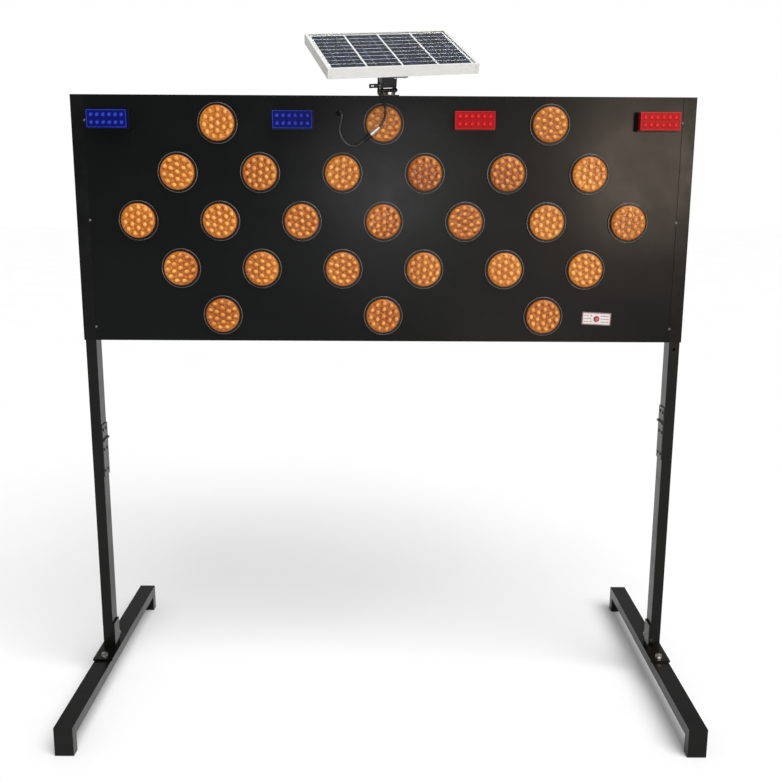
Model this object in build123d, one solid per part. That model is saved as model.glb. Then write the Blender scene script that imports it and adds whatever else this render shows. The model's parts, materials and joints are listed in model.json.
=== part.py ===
from build123d import *
import math
import os

os.makedirs("parts", exist_ok=True)

# A free-standing arrow board on two folding T-foot legs, with a solar panel on top.
# Millimetres. The board's front faces -Y, +Z is up, and the origin is on the floor under
# the board's centre.

# ---------------------------------------------------------------- driving dimensions
board_width = 1700.0
board_height = 672.0
board_bottom = 1037.0  # height of the board's lower edge above the floor
upright_wall = 2.7
sheet = 1.2
rail_height = 14.0
rail_wall = 1.5
stiffener_thickness = 4.0
weld_radius = 3.5
weld_height = 1.0
weld_inset_low = 38.0
weld_inset_high = 68.0
back_screw_radius = 2.0
back_screw_head = 4.5
back_screw_head_height = 2.2
back_screw_tip = 4.0  # how far a screw reaches past the rail it holds
back_screw_inset = 24.0
back_screw_count = 7

lamp_pitch_x = 226.0
lamp_pitch_z = 131.0
lamp_rows = [[-2, 0, 2], [-2.5, -1.5, -0.5, 0.5, 1.5, 2.5], [-3, -2, -1, 0, 1, 2, 3],
             [-2.5, -1.5, -0.5, 0.5, 1.5, 2.5], [-2, 0, 2]]
lens_radius = 47.5
lens_wall = 2.5
lens_proud = 12.0
bezel_wall = 2.3
bezel_flange = 5.0
bezel_proud = 5.0
bezel_groove = 3.0
bezel_rim = 2.5
barrel_depth = 22.0
barrel_floor = 2.0
circuit_board = 1.6
lamp_gap = 0.2  # between a lens and what holds it

strobe_width = 108.0
strobe_height = 47.5
strobe_proud = 40.0
strobe_wall = 2.0
strobe_base_depth = 20.0
strobe_base_floor = 3.0
strobe_x = [-743.5, -245.5, 245.5, 743.5]
strobe_below_top = 65.5
wire_hole_radius = 5.0

plate_width = 80.0
plate_height = 34.0
plate_thickness = 1.5
plate_x = 604.5
plate_above_bottom = 67.0
plate_turn = 2.6  # the plate sits slightly askew
gasket_border = 2.0
gasket_thickness = 1.0
bushing_wall = 1.1
bushing_lip = 2.0
bushing_flange = 1.6
bushing_depth = 20.0
bushing_floor = 2.0
button_radius = 4.7
button_gap = 0.2
button_proud = 3.0
button_travel = 2.0
button_edge = 0.8
button_nut_lip = 3.0
button_nut_thickness = 3.0

door_x = 226.0
door_width = 220.0
door_height = 140.0
door_above_bottom = 105.0
door_lap = 12.0
door_thickness = 1.5
door_pin_radius = 2.0
door_leaf_width = 16.0
knuckle_radius = 4.0
latch_inset = 14.0
latch_knob_radius = 9.0
latch_knob_height = 8.0
latch_slot = 3.0
latch_spindle_radius = 3.0
cam_reach = 6.0  # how far the turned cam reaches behind the back sheet
cam_thickness = 2.0
cam_half_width = 4.0
battery_size = (150.0, 40.0, 98.0)
controller_size = (70.0, 22.0, 110.0)
controller_x = 540.0
controller_above_bottom = 52.0

leg_width = 30.0
leg_depth = 50.0
leg_wall = 2.0
leg_grip = 300.0  # length of upper leg inside the upright
fold_height = {"left": 740.0, "right": 798.0}
seam_height = {"left": 649.0, "right": 626.0}
seam_gap = 0.8
seam_cut = 0.5
leaf_thickness = 3.0
upper_leaf_height = 45.0
lower_leaf_height = 110.0
hinge_radius = 4.0
hinge_pin_radius = 2.0
leg_hole_radius = 4.0
leg_hole_below_board = 21.0
lock_bolt_radius = 4.0
lock_bolt_above_bottom = 60.0
lock_nut_radius = 8.0
lock_nut_thickness = 6.0
lock_handle_length = 46.0
lock_handle_radius = 3.5
lock_handle_proud = 14.0

foot_length = 930.0
foot_width = 50.0
foot_tube = 30.0
foot_wall = 2.5
foot_top = 80.0
foot_cap = 4.0
cap_plug = 12.0
bracket_width = 58.0
bracket_plate = 6.0
upstand_height = 80.0
upstand_plate = 5.0
foot_bolt_spacing = 146.0
foot_bolt_edge = 22.0
foot_bolt_radius = 5.0
foot_bolt_across = 17.0
foot_bolt_head = 6.4
foot_bolt_end = 2.0
foot_nut = 8.0
foot_washer_rim = 5.0
foot_washer = 2.0

swivel_x = 16.0
swivel_y = -12.0
solar_yaw = 15.1  # how far the panel is swivelled to the left as it stands
solar_lean = -3.8  # its bracket leans a little
solar_tilt = 24.0
hinge_rise = 17.0
ear_radius = 10.0
bracket_base = 3.0
bracket_base_width = 46.0
bracket_base_front = 16.0
bracket_sheet = 2.5
arm_half_width = 20.0
arm_front = 14.0
arm_back = 14.0
arm_skirt = 9.0
arm_plate_start = 12.0
spacer_radius = 5.0
tilt_bolt_radius = 3.0
swivel_bolt_radius = 4.0
swivel_across = 13.0
swivel_head_height = 5.3
swivel_nut_height = 7.0
swivel_washer_radius = 9.5
swivel_washer = 1.6
panel_width = 410.0
panel_depth = 300.0
panel_thickness = 27.0
panel_offset = (10.3, 36.5)
panel_rise = 102.6  # from the tilt hinge to the top of the panel
frame_wall = 1.5
frame_lip = 8.0
frame_foot = 14.0
glass_thickness = 3.2
cell_thickness = 1.0
strap_width = 40.0
strap_thickness = 3.0
box_size = (80.0, 50.0, 14.0)
box_behind = 58.0
box_corner = 3.0
snout_length = 6.0
snout_radius = 5.0
pivot_x = -27.0  # the cable passes the tilt hinge here, beside the arm
tab_length = 37.0
tab_bottom = 13.0
tab_height = 11.0
slot_length = 8.0
slot_inset = 5.5
slot_height = 3.5

cable_radius = 3.25
gland_x = -124.0
gland_z = 1661.0
gland_radius = 7.0
gland_flange_radius = 9.5
gland_flange = 3.0
gland_proud = 9.0
gland_lip = 1.2
plug_radius = 6.0
socket_radius = 6.4
plug_tail_radius = 4.6

running_gap = 0.3  # between pieces that move past each other
hole_gap = 0.3  # round a fastener in its hole

# ---------------------------------------------------------------- derived places
upright_width = leg_width + 2 * (running_gap + upright_wall)
upright_depth = leg_depth + 2 * (running_gap + upright_wall)
barrel_radius = lens_radius + lamp_gap + bezel_wall
bezel_radius = barrel_radius + bezel_flange
bushing_bore = button_radius + button_gap
bushing_radius = bushing_bore + bushing_wall
bracket_length = foot_bolt_spacing + 2 * foot_bolt_edge
foot_washer_radius = foot_bolt_radius + foot_washer_rim
cam_length = latch_inset + cam_reach
stiffener_x = 1.75 * lamp_pitch_x  # between two columns of lamps
hinge_offset = swivel_washer_radius + 0.5 + ear_radius
board_top = board_bottom + board_height
board_middle = board_bottom + board_height / 2
front = -upright_depth / 2
back = upright_depth / 2
half_inside = board_width / 2 - upright_width
leg_x = board_width / 2 - upright_width / 2
rail_depth = upright_depth - 2 * sheet
side_sign = {"left": -1, "right": 1}


# ---------------------------------------------------------------- helpers
STANDING = (Align.CENTER, Align.CENTER, Align.MIN)


def block(x0, x1, y0, y1, z0, z1):
    """A box from its low and high sides."""
    return Pos((x0 + x1) / 2, (y0 + y1) / 2, (z0 + z1) / 2) * Box(x1 - x0, y1 - y0, z1 - z0)


def rod(radius, start, end):
    """A cylinder from one point to another."""
    start, end = Vector(*start), Vector(*end)
    plane = Plane(origin=start, z_dir=end - start)
    return plane * Cylinder(radius, (end - start).length, align=STANDING)


def cone(radius_start, radius_end, start, end):
    """A cone from one point to another."""
    start, end = Vector(*start), Vector(*end)
    plane = Plane(origin=start, z_dir=end - start)
    return plane * Cone(radius_start, radius_end, (end - start).length, align=STANDING)


def hexagon(across, start, end):
    """A hexagonal prism, across flats, from one point to another."""
    start, end = Vector(*start), Vector(*end)
    plane = Plane(origin=start, z_dir=end - start)
    profile = RegularPolygon(across / 2, 6, major_radius=False)
    return plane * extrude(profile, (end - start).length)


def disc(x, z, radius, y0, y1):
    """A cylinder along Y, such as a lamp."""
    return rod(radius, (x, y0, z), (x, y1, z))


def tube(x, y, width, depth, wall, z0, z1):
    """A rectangular tube standing upright."""
    outer = block(x - width / 2, x + width / 2, y - depth / 2, y + depth / 2, z0, z1)
    hole_x, hole_y = width / 2 - wall, depth / 2 - wall
    return outer - block(x - hole_x, x + hole_x, y - hole_y, y + hole_y, z0 - 1, z1 + 1)


def group(pieces):
    """Separate solids kept together in one node."""
    return Compound(children=[solid for piece in pieces for solid in piece.solids()])


def save(node, shape):
    export_step(shape, f"parts/{node}.step")


# ---------------------------------------------------------------- lamp and strobe places
barrel_back = front + barrel_depth
lens_back = barrel_back - barrel_floor - circuit_board
lamp_places = [(column * lamp_pitch_x, board_middle + (2 - index) * lamp_pitch_z)
               for index, columns in enumerate(lamp_rows) for column in columns]
strobe_z = board_top - strobe_below_top
plate_z = board_bottom + plate_above_bottom
lock_z = board_bottom + lock_bolt_above_bottom


# ---------------------------------------------------------------- board
def face_sheet():
    panel = block(-half_inside, half_inside, front, front + sheet, board_bottom, board_top)
    for x, z in lamp_places:
        panel -= disc(x, z, barrel_radius + hole_gap, front - 1, front + sheet + 1)
    for x in strobe_x:
        panel -= disc(x, strobe_z, wire_hole_radius, front - 1, front + sheet + 1)
    panel -= disc(gland_x, gland_z, gland_radius + hole_gap, front - 1, front + sheet + 1)
    panel -= disc(plate_x, plate_z, bushing_radius + hole_gap, front - 1, front + sheet + 1)
    return panel


def back_sheet():
    panel = block(-half_inside, half_inside, back - sheet, back, board_bottom, board_top)
    panel -= block(door_x - door_width / 2, door_x + door_width / 2, back - sheet - 1, back + 1,
                   door_low, door_low + door_height)
    for x, z in back_screw_places:
        panel -= disc(x, z, back_screw_radius + hole_gap, back - sheet - 1, back + 1)
    return panel


door_low = board_bottom + door_above_bottom
back_screw_pitch = 2 * (half_inside - back_screw_inset) / (back_screw_count - 1)
back_screw_places = [(-half_inside + back_screw_inset + i * back_screw_pitch, z)
                     for i in range(back_screw_count)
                     for z in (board_bottom + rail_height / 2, board_top - rail_height / 2)]


def upright(side):
    x = side_sign[side] * leg_x
    post = tube(x, 0, upright_width, upright_depth, upright_wall, board_bottom, board_top)
    half = upright_width / 2
    post += block(x - half, x + half, front, back, board_top - upright_wall, board_top)
    nut = disc(x, lock_z, lock_nut_radius, back, back + lock_nut_thickness)
    post += nut
    return post - disc(x, lock_z, lock_bolt_radius + hole_gap, 0, back + lock_nut_thickness + 1)


def rail(low, web_on_top):
    z0, z1 = low, low + rail_height
    outer = block(-half_inside, half_inside, -rail_depth / 2, rail_depth / 2, z0, z1)
    inner_low = z0 - 1 if web_on_top else z0 + rail_wall
    inner_high = z1 - rail_wall if web_on_top else z1 + 1
    inside = rail_depth / 2 - rail_wall
    channel = outer - block(-half_inside - 1, half_inside + 1, -inside, inside, inner_low, inner_high)
    for x, z in back_screw_places:
        if z0 < z < z1:
            channel -= disc(x, z, back_screw_radius + hole_gap, 0, back)
    if web_on_top:
        hole = swivel_bolt_radius + hole_gap
        channel -= rod(hole, (swivel_x, swivel_y, z0), (swivel_x, swivel_y, z1 + 1))
    return channel


def stiffeners():
    inside = rail_depth / 2 - rail_wall
    half = stiffener_thickness / 2
    low, high = board_bottom + rail_wall, board_top - rail_wall
    bars = group([block(x - half, x + half, -inside, inside, low, high) for x in (-stiffener_x, stiffener_x)])
    for x, z in lamp_places:
        if abs(abs(x) - stiffener_x) < barrel_radius + running_gap + half:
            bars -= disc(x, z, barrel_radius + running_gap, front, barrel_back + running_gap)
    return bars


def seam_welds():
    heights = [board_bottom + weld_inset_low, board_middle, board_top - weld_inset_high]
    return group([cone(weld_radius, weld_radius / 2, (x, front, z), (x, front - weld_height, z))
                  for x in (-half_inside, half_inside) for z in heights])


def back_screws():
    inner = back - sheet - rail_wall - back_screw_tip
    return group([disc(x, z, back_screw_head, back, back + back_screw_head_height)
                  + disc(x, z, back_screw_radius, inner, back) for x, z in back_screw_places])


def leg_lock_bolts():
    tip = leg_depth / 2 + running_gap / 2
    handle_y = back + lock_nut_thickness + lock_handle_proud
    bolts = []
    for s in (-1, 1):
        x = s * leg_x
        shaft = disc(x, lock_z, lock_bolt_radius, tip, handle_y)
        handle = rod(lock_handle_radius, (x, handle_y, lock_z - lock_handle_length / 2),
                     (x, handle_y, lock_z + lock_handle_length / 2))
        bolts.append(shaft + handle)
    return group(bolts)


# ---------------------------------------------------------------- lamps



def lamp_bezel(x, z):
    bore = lens_radius + lamp_gap
    body = disc(x, z, bezel_radius, front - bezel_proud, front)
    body += disc(x, z, barrel_radius, front, barrel_back)
    body -= disc(x, z, bore, front - bezel_proud - 1, barrel_back - barrel_floor)
    face = front - bezel_proud
    return body - disc(x, z, bezel_radius - bezel_rim, face - 1, face + bezel_groove)


def lamp_lens(x, z):
    face = front - lens_proud
    cup = fillet(disc(x, z, lens_radius, face, lens_back).edges().group_by(Axis.Y)[0], lens_wall)
    return cup - disc(x, z, lens_radius - lens_wall, face + lens_wall, lens_back + 1)


def lamp_board(x, z):
    return disc(x, z, lens_radius, lens_back, lens_back + circuit_board)


# ---------------------------------------------------------------- strobes
strobe_floor = front - strobe_base_floor
strobe_rear = strobe_floor - circuit_board


def strobe_base(x):
    half_w = strobe_width / 2 + lamp_gap + strobe_wall
    half_h = strobe_height / 2 + lamp_gap + strobe_wall
    face = front - strobe_base_depth
    body = block(x - half_w, x + half_w, face, front, strobe_z - half_h, strobe_z + half_h)
    body = fillet(body.edges().filter_by(Axis.Y), strobe_wall)
    half_w -= strobe_wall
    half_h -= strobe_wall
    body -= block(x - half_w, x + half_w, face - 1, strobe_floor, strobe_z - half_h, strobe_z + half_h)
    return body - disc(x, strobe_z, wire_hole_radius, strobe_floor - 1, front + 1)


def strobe_lens(x):
    half_w, half_h = strobe_width / 2, strobe_height / 2
    face = front - strobe_proud
    body = block(x - half_w, x + half_w, face, strobe_rear, strobe_z - half_h, strobe_z + half_h)
    body = fillet(body.edges().filter_by(Axis.Y), strobe_wall)
    half_w -= strobe_wall
    half_h -= strobe_wall
    return body - block(x - half_w, x + half_w, face + strobe_wall, strobe_rear + 1,
                        strobe_z - half_h, strobe_z + half_h)


def strobe_board(x):
    half_w, half_h = strobe_width / 2 - strobe_wall, strobe_height / 2 - strobe_wall
    low, high = strobe_z - half_h, strobe_z + half_h
    return block(x - half_w, x + half_w, strobe_rear, strobe_floor, low, high)


# ---------------------------------------------------------------- control plate and button
plate_back = front - gasket_thickness
plate_front = plate_back - plate_thickness
bushing_front = plate_front - bushing_flange


def askew(shape):
    """Turns a shape about the button's axis, as the control plate is turned."""
    return Pos(plate_x, 0, plate_z) * Rot(0, plate_turn, 0) * shape


def control_plate():
    half_w, half_h = plate_width / 2, plate_height / 2
    body = block(-half_w, half_w, plate_front, plate_back, -half_h, half_h)
    return askew(body - disc(0, 0, bushing_radius + hole_gap, plate_front - 1, plate_back + 1))


def control_gasket():
    half_w, half_h = plate_width / 2 + gasket_border, plate_height / 2 + gasket_border
    body = block(-half_w, half_w, plate_back, front, -half_h, half_h)
    return askew(body - disc(0, 0, bushing_radius + hole_gap, plate_back - 1, front + 1))


def button_bushing():
    rear = front + bushing_depth
    body = disc(0, 0, bushing_radius + bushing_lip, bushing_front, plate_front)
    body += disc(0, 0, bushing_radius, plate_front, rear)
    body -= disc(0, 0, bushing_bore, bushing_front - 1, rear - bushing_floor)
    nut_radius = bushing_radius + button_nut_lip
    nut = disc(0, 0, nut_radius, front + sheet, front + sheet + button_nut_thickness)
    nut -= disc(0, 0, bushing_radius, front, front + sheet + button_nut_thickness + 1)
    return group([Pos(plate_x, 0, plate_z) * body, Pos(plate_x, 0, plate_z) * nut])


def mode_button():
    face = bushing_front - button_proud
    rear = front + bushing_depth - bushing_floor - button_travel - running_gap
    body = disc(0, 0, button_radius, face, rear)
    body = chamfer(body.edges().group_by(Axis.Y)[0], button_edge)
    return Pos(plate_x, 0, plate_z) * body


# ---------------------------------------------------------------- rear access door and contents
door_edge = door_x + door_width / 2 + door_lap
door_pin_x = door_edge + knuckle_radius
door_pin_y = back + knuckle_radius
door_top = door_low + door_height
knuckle_length = (door_height + 2 * door_lap) / 5
latch_x = door_x - door_width / 2 + latch_inset
latch_z = door_low + door_height / 2


def knuckle(index):
    """One of the five knuckles of the door hinge, counted from below."""
    low = door_low - door_lap + index * knuckle_length
    z0, z1 = low + running_gap / 2, low + knuckle_length - running_gap / 2
    return rod(knuckle_radius, (door_pin_x, door_pin_y, z0), (door_pin_x, door_pin_y, z1)), z0, z1


def access_door():
    left = door_x - door_width / 2 - door_lap
    body = block(left, door_edge, back, back + door_thickness, door_low - door_lap, door_top + door_lap)
    for index in (0, 2, 4):
        low = door_low - door_lap + index * knuckle_length
        body -= block(door_edge - 1, door_edge + 1, back - 1, back + 9, low, low + knuckle_length)
    for index in (1, 3):
        barrel, z0, z1 = knuckle(index)
        body += block(door_edge - 6, door_pin_x, back, back + door_thickness, z0, z1) + barrel
    body -= rod(door_pin_radius + running_gap / 2, (door_pin_x, door_pin_y, door_low - door_lap - 1),
                (door_pin_x, door_pin_y, door_top + door_lap + 1))
    return body - disc(latch_x, latch_z, latch_spindle_radius + running_gap / 2, back - 1, back + 9)


def door_hinge():
    leaf = block(door_pin_x + knuckle_radius, door_pin_x + door_leaf_width, back, back + door_thickness,
                 door_low - door_lap, door_top + door_lap)
    for index in (0, 2, 4):
        barrel, z0, z1 = knuckle(index)
        strip = block(door_pin_x, door_pin_x + door_leaf_width, back, back + door_thickness, z0, z1)
        leaf += barrel + strip
    bottom, top = door_low - door_lap, door_top + door_lap
    leaf -= rod(door_pin_radius, (door_pin_x, door_pin_y, bottom - 1), (door_pin_x, door_pin_y, top + 1))
    pin = rod(door_pin_radius, (door_pin_x, door_pin_y, bottom), (door_pin_x, door_pin_y, top))
    return group([leaf, pin])


def door_latch():
    inside = back - sheet
    knob_back = back + door_thickness + running_gap
    body = disc(latch_x, latch_z, latch_knob_radius, knob_back, knob_back + latch_knob_height)
    knob_front = knob_back + latch_knob_height
    slot_floor = knob_front - latch_knob_height / 2
    body -= block(latch_x - latch_knob_radius, latch_x + latch_knob_radius, slot_floor, knob_front + 1,
                  latch_z - latch_slot / 2, latch_z + latch_slot / 2)
    cam_high = inside - running_gap
    body += disc(latch_x, latch_z, latch_spindle_radius, cam_high - cam_thickness, knob_back)
    cam = block(latch_x - cam_half_width, latch_x + cam_half_width, cam_high - cam_thickness, cam_high,
                latch_z - cam_length, latch_z + cam_half_width)
    return body + cam


def battery():
    width, depth, height = battery_size
    low = board_bottom + rail_wall
    body = block(door_x - width / 2, door_x + width / 2, -depth / 2, depth / 2, low, low + height)
    return fillet(body.edges().filter_by(Axis.Z), 4)


def controller():
    width, depth, height = controller_size
    rear = back - sheet
    low = board_bottom + controller_above_bottom
    body = block(controller_x - width / 2, controller_x + width / 2, rear - depth, rear, low, low + height)
    return fillet(body.edges().filter_by(Axis.Y), 3)


# ---------------------------------------------------------------- legs
def hinge_x(side):
    """Distance from the centre plane to the fold hinge's axis, which is inboard of the leg."""
    return side_sign[side] * (leg_x - leg_width / 2 - hinge_radius)


def upper_leg(side):
    x, fold = side_sign[side] * leg_x, fold_height[side]
    body = tube(x, 0, leg_width, leg_depth, leg_wall, fold, board_bottom + leg_grip)
    if side == "right":
        z = board_bottom - leg_hole_below_board
        body -= disc(x, z, leg_hole_radius, -leg_depth, 0)
    return body


def hinge_knuckles(side, indices):
    """Knuckles of a fold hinge, which lie along Y, five in all."""
    x, fold = hinge_x(side), fold_height[side]
    length = leg_depth / 5
    return [rod(hinge_radius, (x, -leg_depth / 2 + i * length + running_gap / 2, fold),
                (x, -leg_depth / 2 + (i + 1) * length - running_gap / 2, fold)) for i in indices]


def leaf_bars(side, indices, z0, z1):
    """The strips that join a leaf's plate to its knuckles."""
    s, length = side_sign[side], leg_depth / 5
    inner = s * (leg_x - leg_width / 2)
    outer = inner - s * leaf_thickness
    low, high = min(inner, outer), max(inner, outer)
    return [block(low, high, -leg_depth / 2 + i * length + running_gap / 2,
                  -leg_depth / 2 + (i + 1) * length - running_gap / 2, z0, z1) for i in indices]


def leaf_plate(side, z0, z1):
    s = side_sign[side]
    inner = s * (leg_x - leg_width / 2)
    outer = inner - s * leaf_thickness
    return block(min(inner, outer), max(inner, outer), -leg_depth / 2, leg_depth / 2, z0, z1)


def leaf_rivets(side, heights):
    """Domed rivet heads on a hinge leaf."""
    s = side_sign[side]
    face = s * (leg_x - leg_width / 2 - leaf_thickness)
    return [rod(4.5, (face, y, z), (face - s * 2.0, y, z)) for z in heights for y in (-13, 13)]


def upper_leaf(side):
    x, fold = hinge_x(side), fold_height[side]
    clear = hinge_radius + running_gap
    body = leaf_plate(side, fold + clear, fold + upper_leaf_height)
    for piece in hinge_knuckles(side, (0, 2, 4)) + leaf_bars(side, (0, 2, 4), fold, fold + clear + 1):
        body += piece
    for piece in leaf_rivets(side, [fold + 30]):
        body += piece
    body -= rod(hinge_pin_radius, (x, -leg_depth, fold), (x, leg_depth, fold))
    pin = rod(hinge_pin_radius, (x, -leg_depth / 2, fold), (x, leg_depth / 2, fold))
    return group([body, pin])


def lower_leaf(side):
    x, fold = hinge_x(side), fold_height[side]
    clear = hinge_radius + running_gap
    body = leaf_plate(side, fold - lower_leaf_height, fold - clear)
    for piece in hinge_knuckles(side, (1, 3)) + leaf_bars(side, (1, 3), fold - clear - 1, fold):
        body += piece
    for piece in leaf_rivets(side, [fold - 30, fold - lower_leaf_height + 16]):
        body += piece
    return body - rod(hinge_pin_radius + running_gap / 3, (x, -leg_depth, fold), (x, leg_depth, fold))


def lower_leg(side):
    x, fold = side_sign[side] * leg_x, fold_height[side]
    body = tube(x, 0, leg_width, leg_depth, leg_wall, foot_top + bracket_plate, fold)
    z0, z1 = seam_height[side] - seam_gap / 2, seam_height[side] + seam_gap / 2
    band = block(x - leg_width, x + leg_width, -leg_depth, leg_depth, z0, z1)
    core_x, core_y = leg_width / 2 - seam_cut, leg_depth / 2 - seam_cut
    return body - (band - block(x - core_x, x + core_x, -core_y, core_y, z0 - 1, z1 + 1))


def foot_bracket(side):
    s, x = side_sign[side], side_sign[side] * leg_x
    half_w, half_l = bracket_width / 2, bracket_length / 2
    body = block(x - half_w, x + half_w, -half_l, half_l, foot_top, foot_top + bracket_plate)
    inner = s * (leg_x - leg_width / 2)
    outer = inner - s * upstand_plate
    stand = block(min(inner, outer), max(inner, outer), -leg_depth / 2, leg_depth / 2,
                  foot_top + bracket_plate, foot_top + bracket_plate + upstand_height)
    body += stand
    for y in (-foot_bolt_spacing / 2, foot_bolt_spacing / 2):
        body -= rod(foot_bolt_radius + hole_gap, (x, y, foot_top - 1), (x, y, foot_top + bracket_plate + 1))
    return body


def foot_beam(side):
    """A tube with mitred, turned-down ends, welded up as one piece."""
    x = side_sign[side] * leg_x
    half_w, half_l = foot_width / 2, foot_length / 2
    low = foot_top - foot_tube
    outer = block(x - half_w, x + half_w, -half_l, half_l, low, foot_top)
    for s in (-1, 1):
        y0, y1 = sorted((s * half_l, s * (half_l - foot_tube)))
        outer += block(x - half_w, x + half_w, y0, y1, foot_cap, foot_top)
    half_w -= foot_wall
    half_l -= foot_wall
    hollow = block(x - half_w, x + half_w, -half_l, half_l, low + foot_wall, foot_top - foot_wall)
    for s in (-1, 1):
        y0, y1 = sorted((s * half_l, s * (half_l - foot_tube + 2 * foot_wall)))
        hollow += block(x - half_w, x + half_w, y0, y1, foot_cap - 1, foot_top - foot_wall)
    body = outer - hollow
    for y in (-foot_bolt_spacing / 2, foot_bolt_spacing / 2):
        body -= rod(foot_bolt_radius + hole_gap, (x, y, low - 1), (x, y, foot_top + 1))
    return body


def foot_caps(side):
    """Plastic plugs in the open ends of a foot beam, which stand on the floor."""
    x = side_sign[side] * leg_x
    caps = []
    for s in (-1, 1):
        y0, y1 = sorted((s * foot_length / 2, s * (foot_length / 2 - foot_tube)))
        cap = block(x - foot_width / 2, x + foot_width / 2, y0, y1, 0, foot_cap)
        wall = foot_wall + lamp_gap
        cap += block(x - foot_width / 2 + wall, x + foot_width / 2 - wall, y0 + wall, y1 - wall,
                     foot_cap, foot_cap + cap_plug)
        caps.append(cap)
    return group(caps)


def foot_bolts(side):
    x = side_sign[side] * leg_x
    top = foot_top + bracket_plate
    low = foot_top - foot_tube
    bolts = []
    for y in (-foot_bolt_spacing / 2, foot_bolt_spacing / 2):
        head = top + foot_washer
        bolt = rod(foot_washer_radius, (x, y, top), (x, y, head))
        bolt += hexagon(foot_bolt_across, (x, y, head), (x, y, head + foot_bolt_head))
        bolt += rod(foot_bolt_radius, (x, y, low - foot_nut - foot_bolt_end), (x, y, top))
        bolt += hexagon(foot_bolt_across, (x, y, low - foot_nut), (x, y, low))
        bolts.append(bolt)
    return group(bolts)


# ---------------------------------------------------------------- solar head
foot_frame = Pos(swivel_x, swivel_y, board_top) * Rot(0, 0, solar_yaw)
lean_frame = foot_frame * Pos(0, hinge_offset, hinge_rise) * Rot(0, solar_lean, 0)
head_frame = lean_frame * Rot(solar_tilt, 0, 0)
ear_outer = arm_half_width - bracket_sheet - running_gap
ear_inner = ear_outer - bracket_sheet
panel_low = panel_rise - panel_thickness
arm_top = panel_low - strap_thickness
panel_x, panel_y = panel_offset


def bracket_foot():
    half_w = bracket_base_width / 2
    base = block(-half_w, half_w, -bracket_base_front, hinge_offset + ear_radius, 0, bracket_base)
    base = fillet(base.edges().filter_by(Axis.Z), 3)
    base -= rod(swivel_bolt_radius + hole_gap, (0, 0, -1), (0, 0, bracket_base + 1))
    web = hinge_offset - ear_radius
    base += block(-ear_inner, ear_inner, web, web + bracket_sheet, 0, hinge_rise - spacer_radius - 0.5)
    ears = None
    for s in (-1, 1):
        x0, x1 = sorted((s * ear_inner, s * ear_outer))
        ear = block(x0, x1, -ear_radius, ear_radius, -hinge_rise + bracket_base / 2, 0)
        ear += rod(ear_radius, (x0, 0, 0), (x1, 0, 0))
        ears = ear if ears is None else ears + ear
    ears += rod(spacer_radius, (-ear_inner, 0, 0), (ear_inner, 0, 0))
    ears -= rod(tilt_bolt_radius + 0.1, (-arm_half_width, 0, 0), (arm_half_width, 0, 0))
    return foot_frame * base + lean_frame * ears


def bracket_arm():
    half, wall = arm_half_width, bracket_sheet
    body = block(-half, half, -arm_front, -arm_front + wall, arm_plate_start, arm_top)
    for s in (-1, 1):
        x0, x1 = sorted((s * half, s * (half - wall)))
        body += block(x0, x1, -arm_front, arm_back, arm_plate_start, arm_top)
        body += block(x0, x1, -arm_skirt, arm_skirt, 0, arm_plate_start)
        body += rod(arm_skirt, (x0, 0, 0), (x1, 0, 0))
    body += block(-half, half, -arm_front, arm_back + 16, arm_top - wall, arm_top)
    tab_top = tab_bottom + tab_height
    tab = block(-half - tab_length, -half + 1, -arm_front, -arm_front + wall, tab_bottom, tab_top)
    slot_low = (tab_bottom + tab_top - slot_height) / 2
    for x in (-half - tab_length + slot_inset, -half - slot_inset - slot_length):
        tab -= block(x, x + slot_length, -arm_front - 1, 0, slot_low, slot_low + slot_height)
    body += tab
    body -= rod(tilt_bolt_radius + hole_gap, (-half - 1, 0, 0), (half + 1, 0, 0))
    for y in arm_screw_places:
        body -= rod(screw_radius + hole_gap, (0, y, arm_top - wall - 1), (0, y, arm_top + 1))
    return head_frame * body


screw_radius = 2.5
screw_head_radius = 4.5
screw_head = 3.0
arm_screw_places = (0, 22)
strap_screw_inset = 8.0


def strap_screw_places():
    """Where the cross strap is screwed to the frame's front and rear foot flanges."""
    ends = (panel_y - panel_depth / 2 + strap_screw_inset, panel_y + panel_depth / 2 - strap_screw_inset)
    return [(x, y) for x in (-12, 12) for y in ends]


def swivel_bolt():
    top = board_top + bracket_base
    head = top + swivel_washer
    centre = (swivel_x, swivel_y)
    bolt = rod(swivel_washer_radius, (*centre, top), (*centre, head))
    bolt += hexagon(swivel_across, (*centre, head), (*centre, head + swivel_head_height))
    web = board_top - rail_wall
    bolt += rod(swivel_bolt_radius, (*centre, web - swivel_nut_height - 2), (*centre, top))
    return bolt + hexagon(swivel_across, (*centre, web - swivel_nut_height), (*centre, web))


def tilt_bolt():
    half = arm_half_width
    bolt = rod(tilt_bolt_radius, (-half, 0, 0), (half + 7, 0, 0))
    bolt += rod(5.5, (-half - 2.5, 0, 0), (-half, 0, 0))
    bolt += hexagon(10, (half, 0, 0), (half + 5, 0, 0))
    return head_frame * bolt


def cross_strap():
    half = strap_width / 2
    half_d = panel_depth / 2
    body = block(-half, half, panel_y - half_d, panel_y + half_d, arm_top, panel_low)
    for x, y in strap_screw_places():
        body -= rod(screw_radius + hole_gap, (x, y, arm_top - 1), (x, y, panel_low + 1))
    for y in arm_screw_places:
        body -= rod(screw_radius + hole_gap, (0, y, arm_top - 1), (0, y, panel_low + 1))
    return head_frame * body


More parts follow.
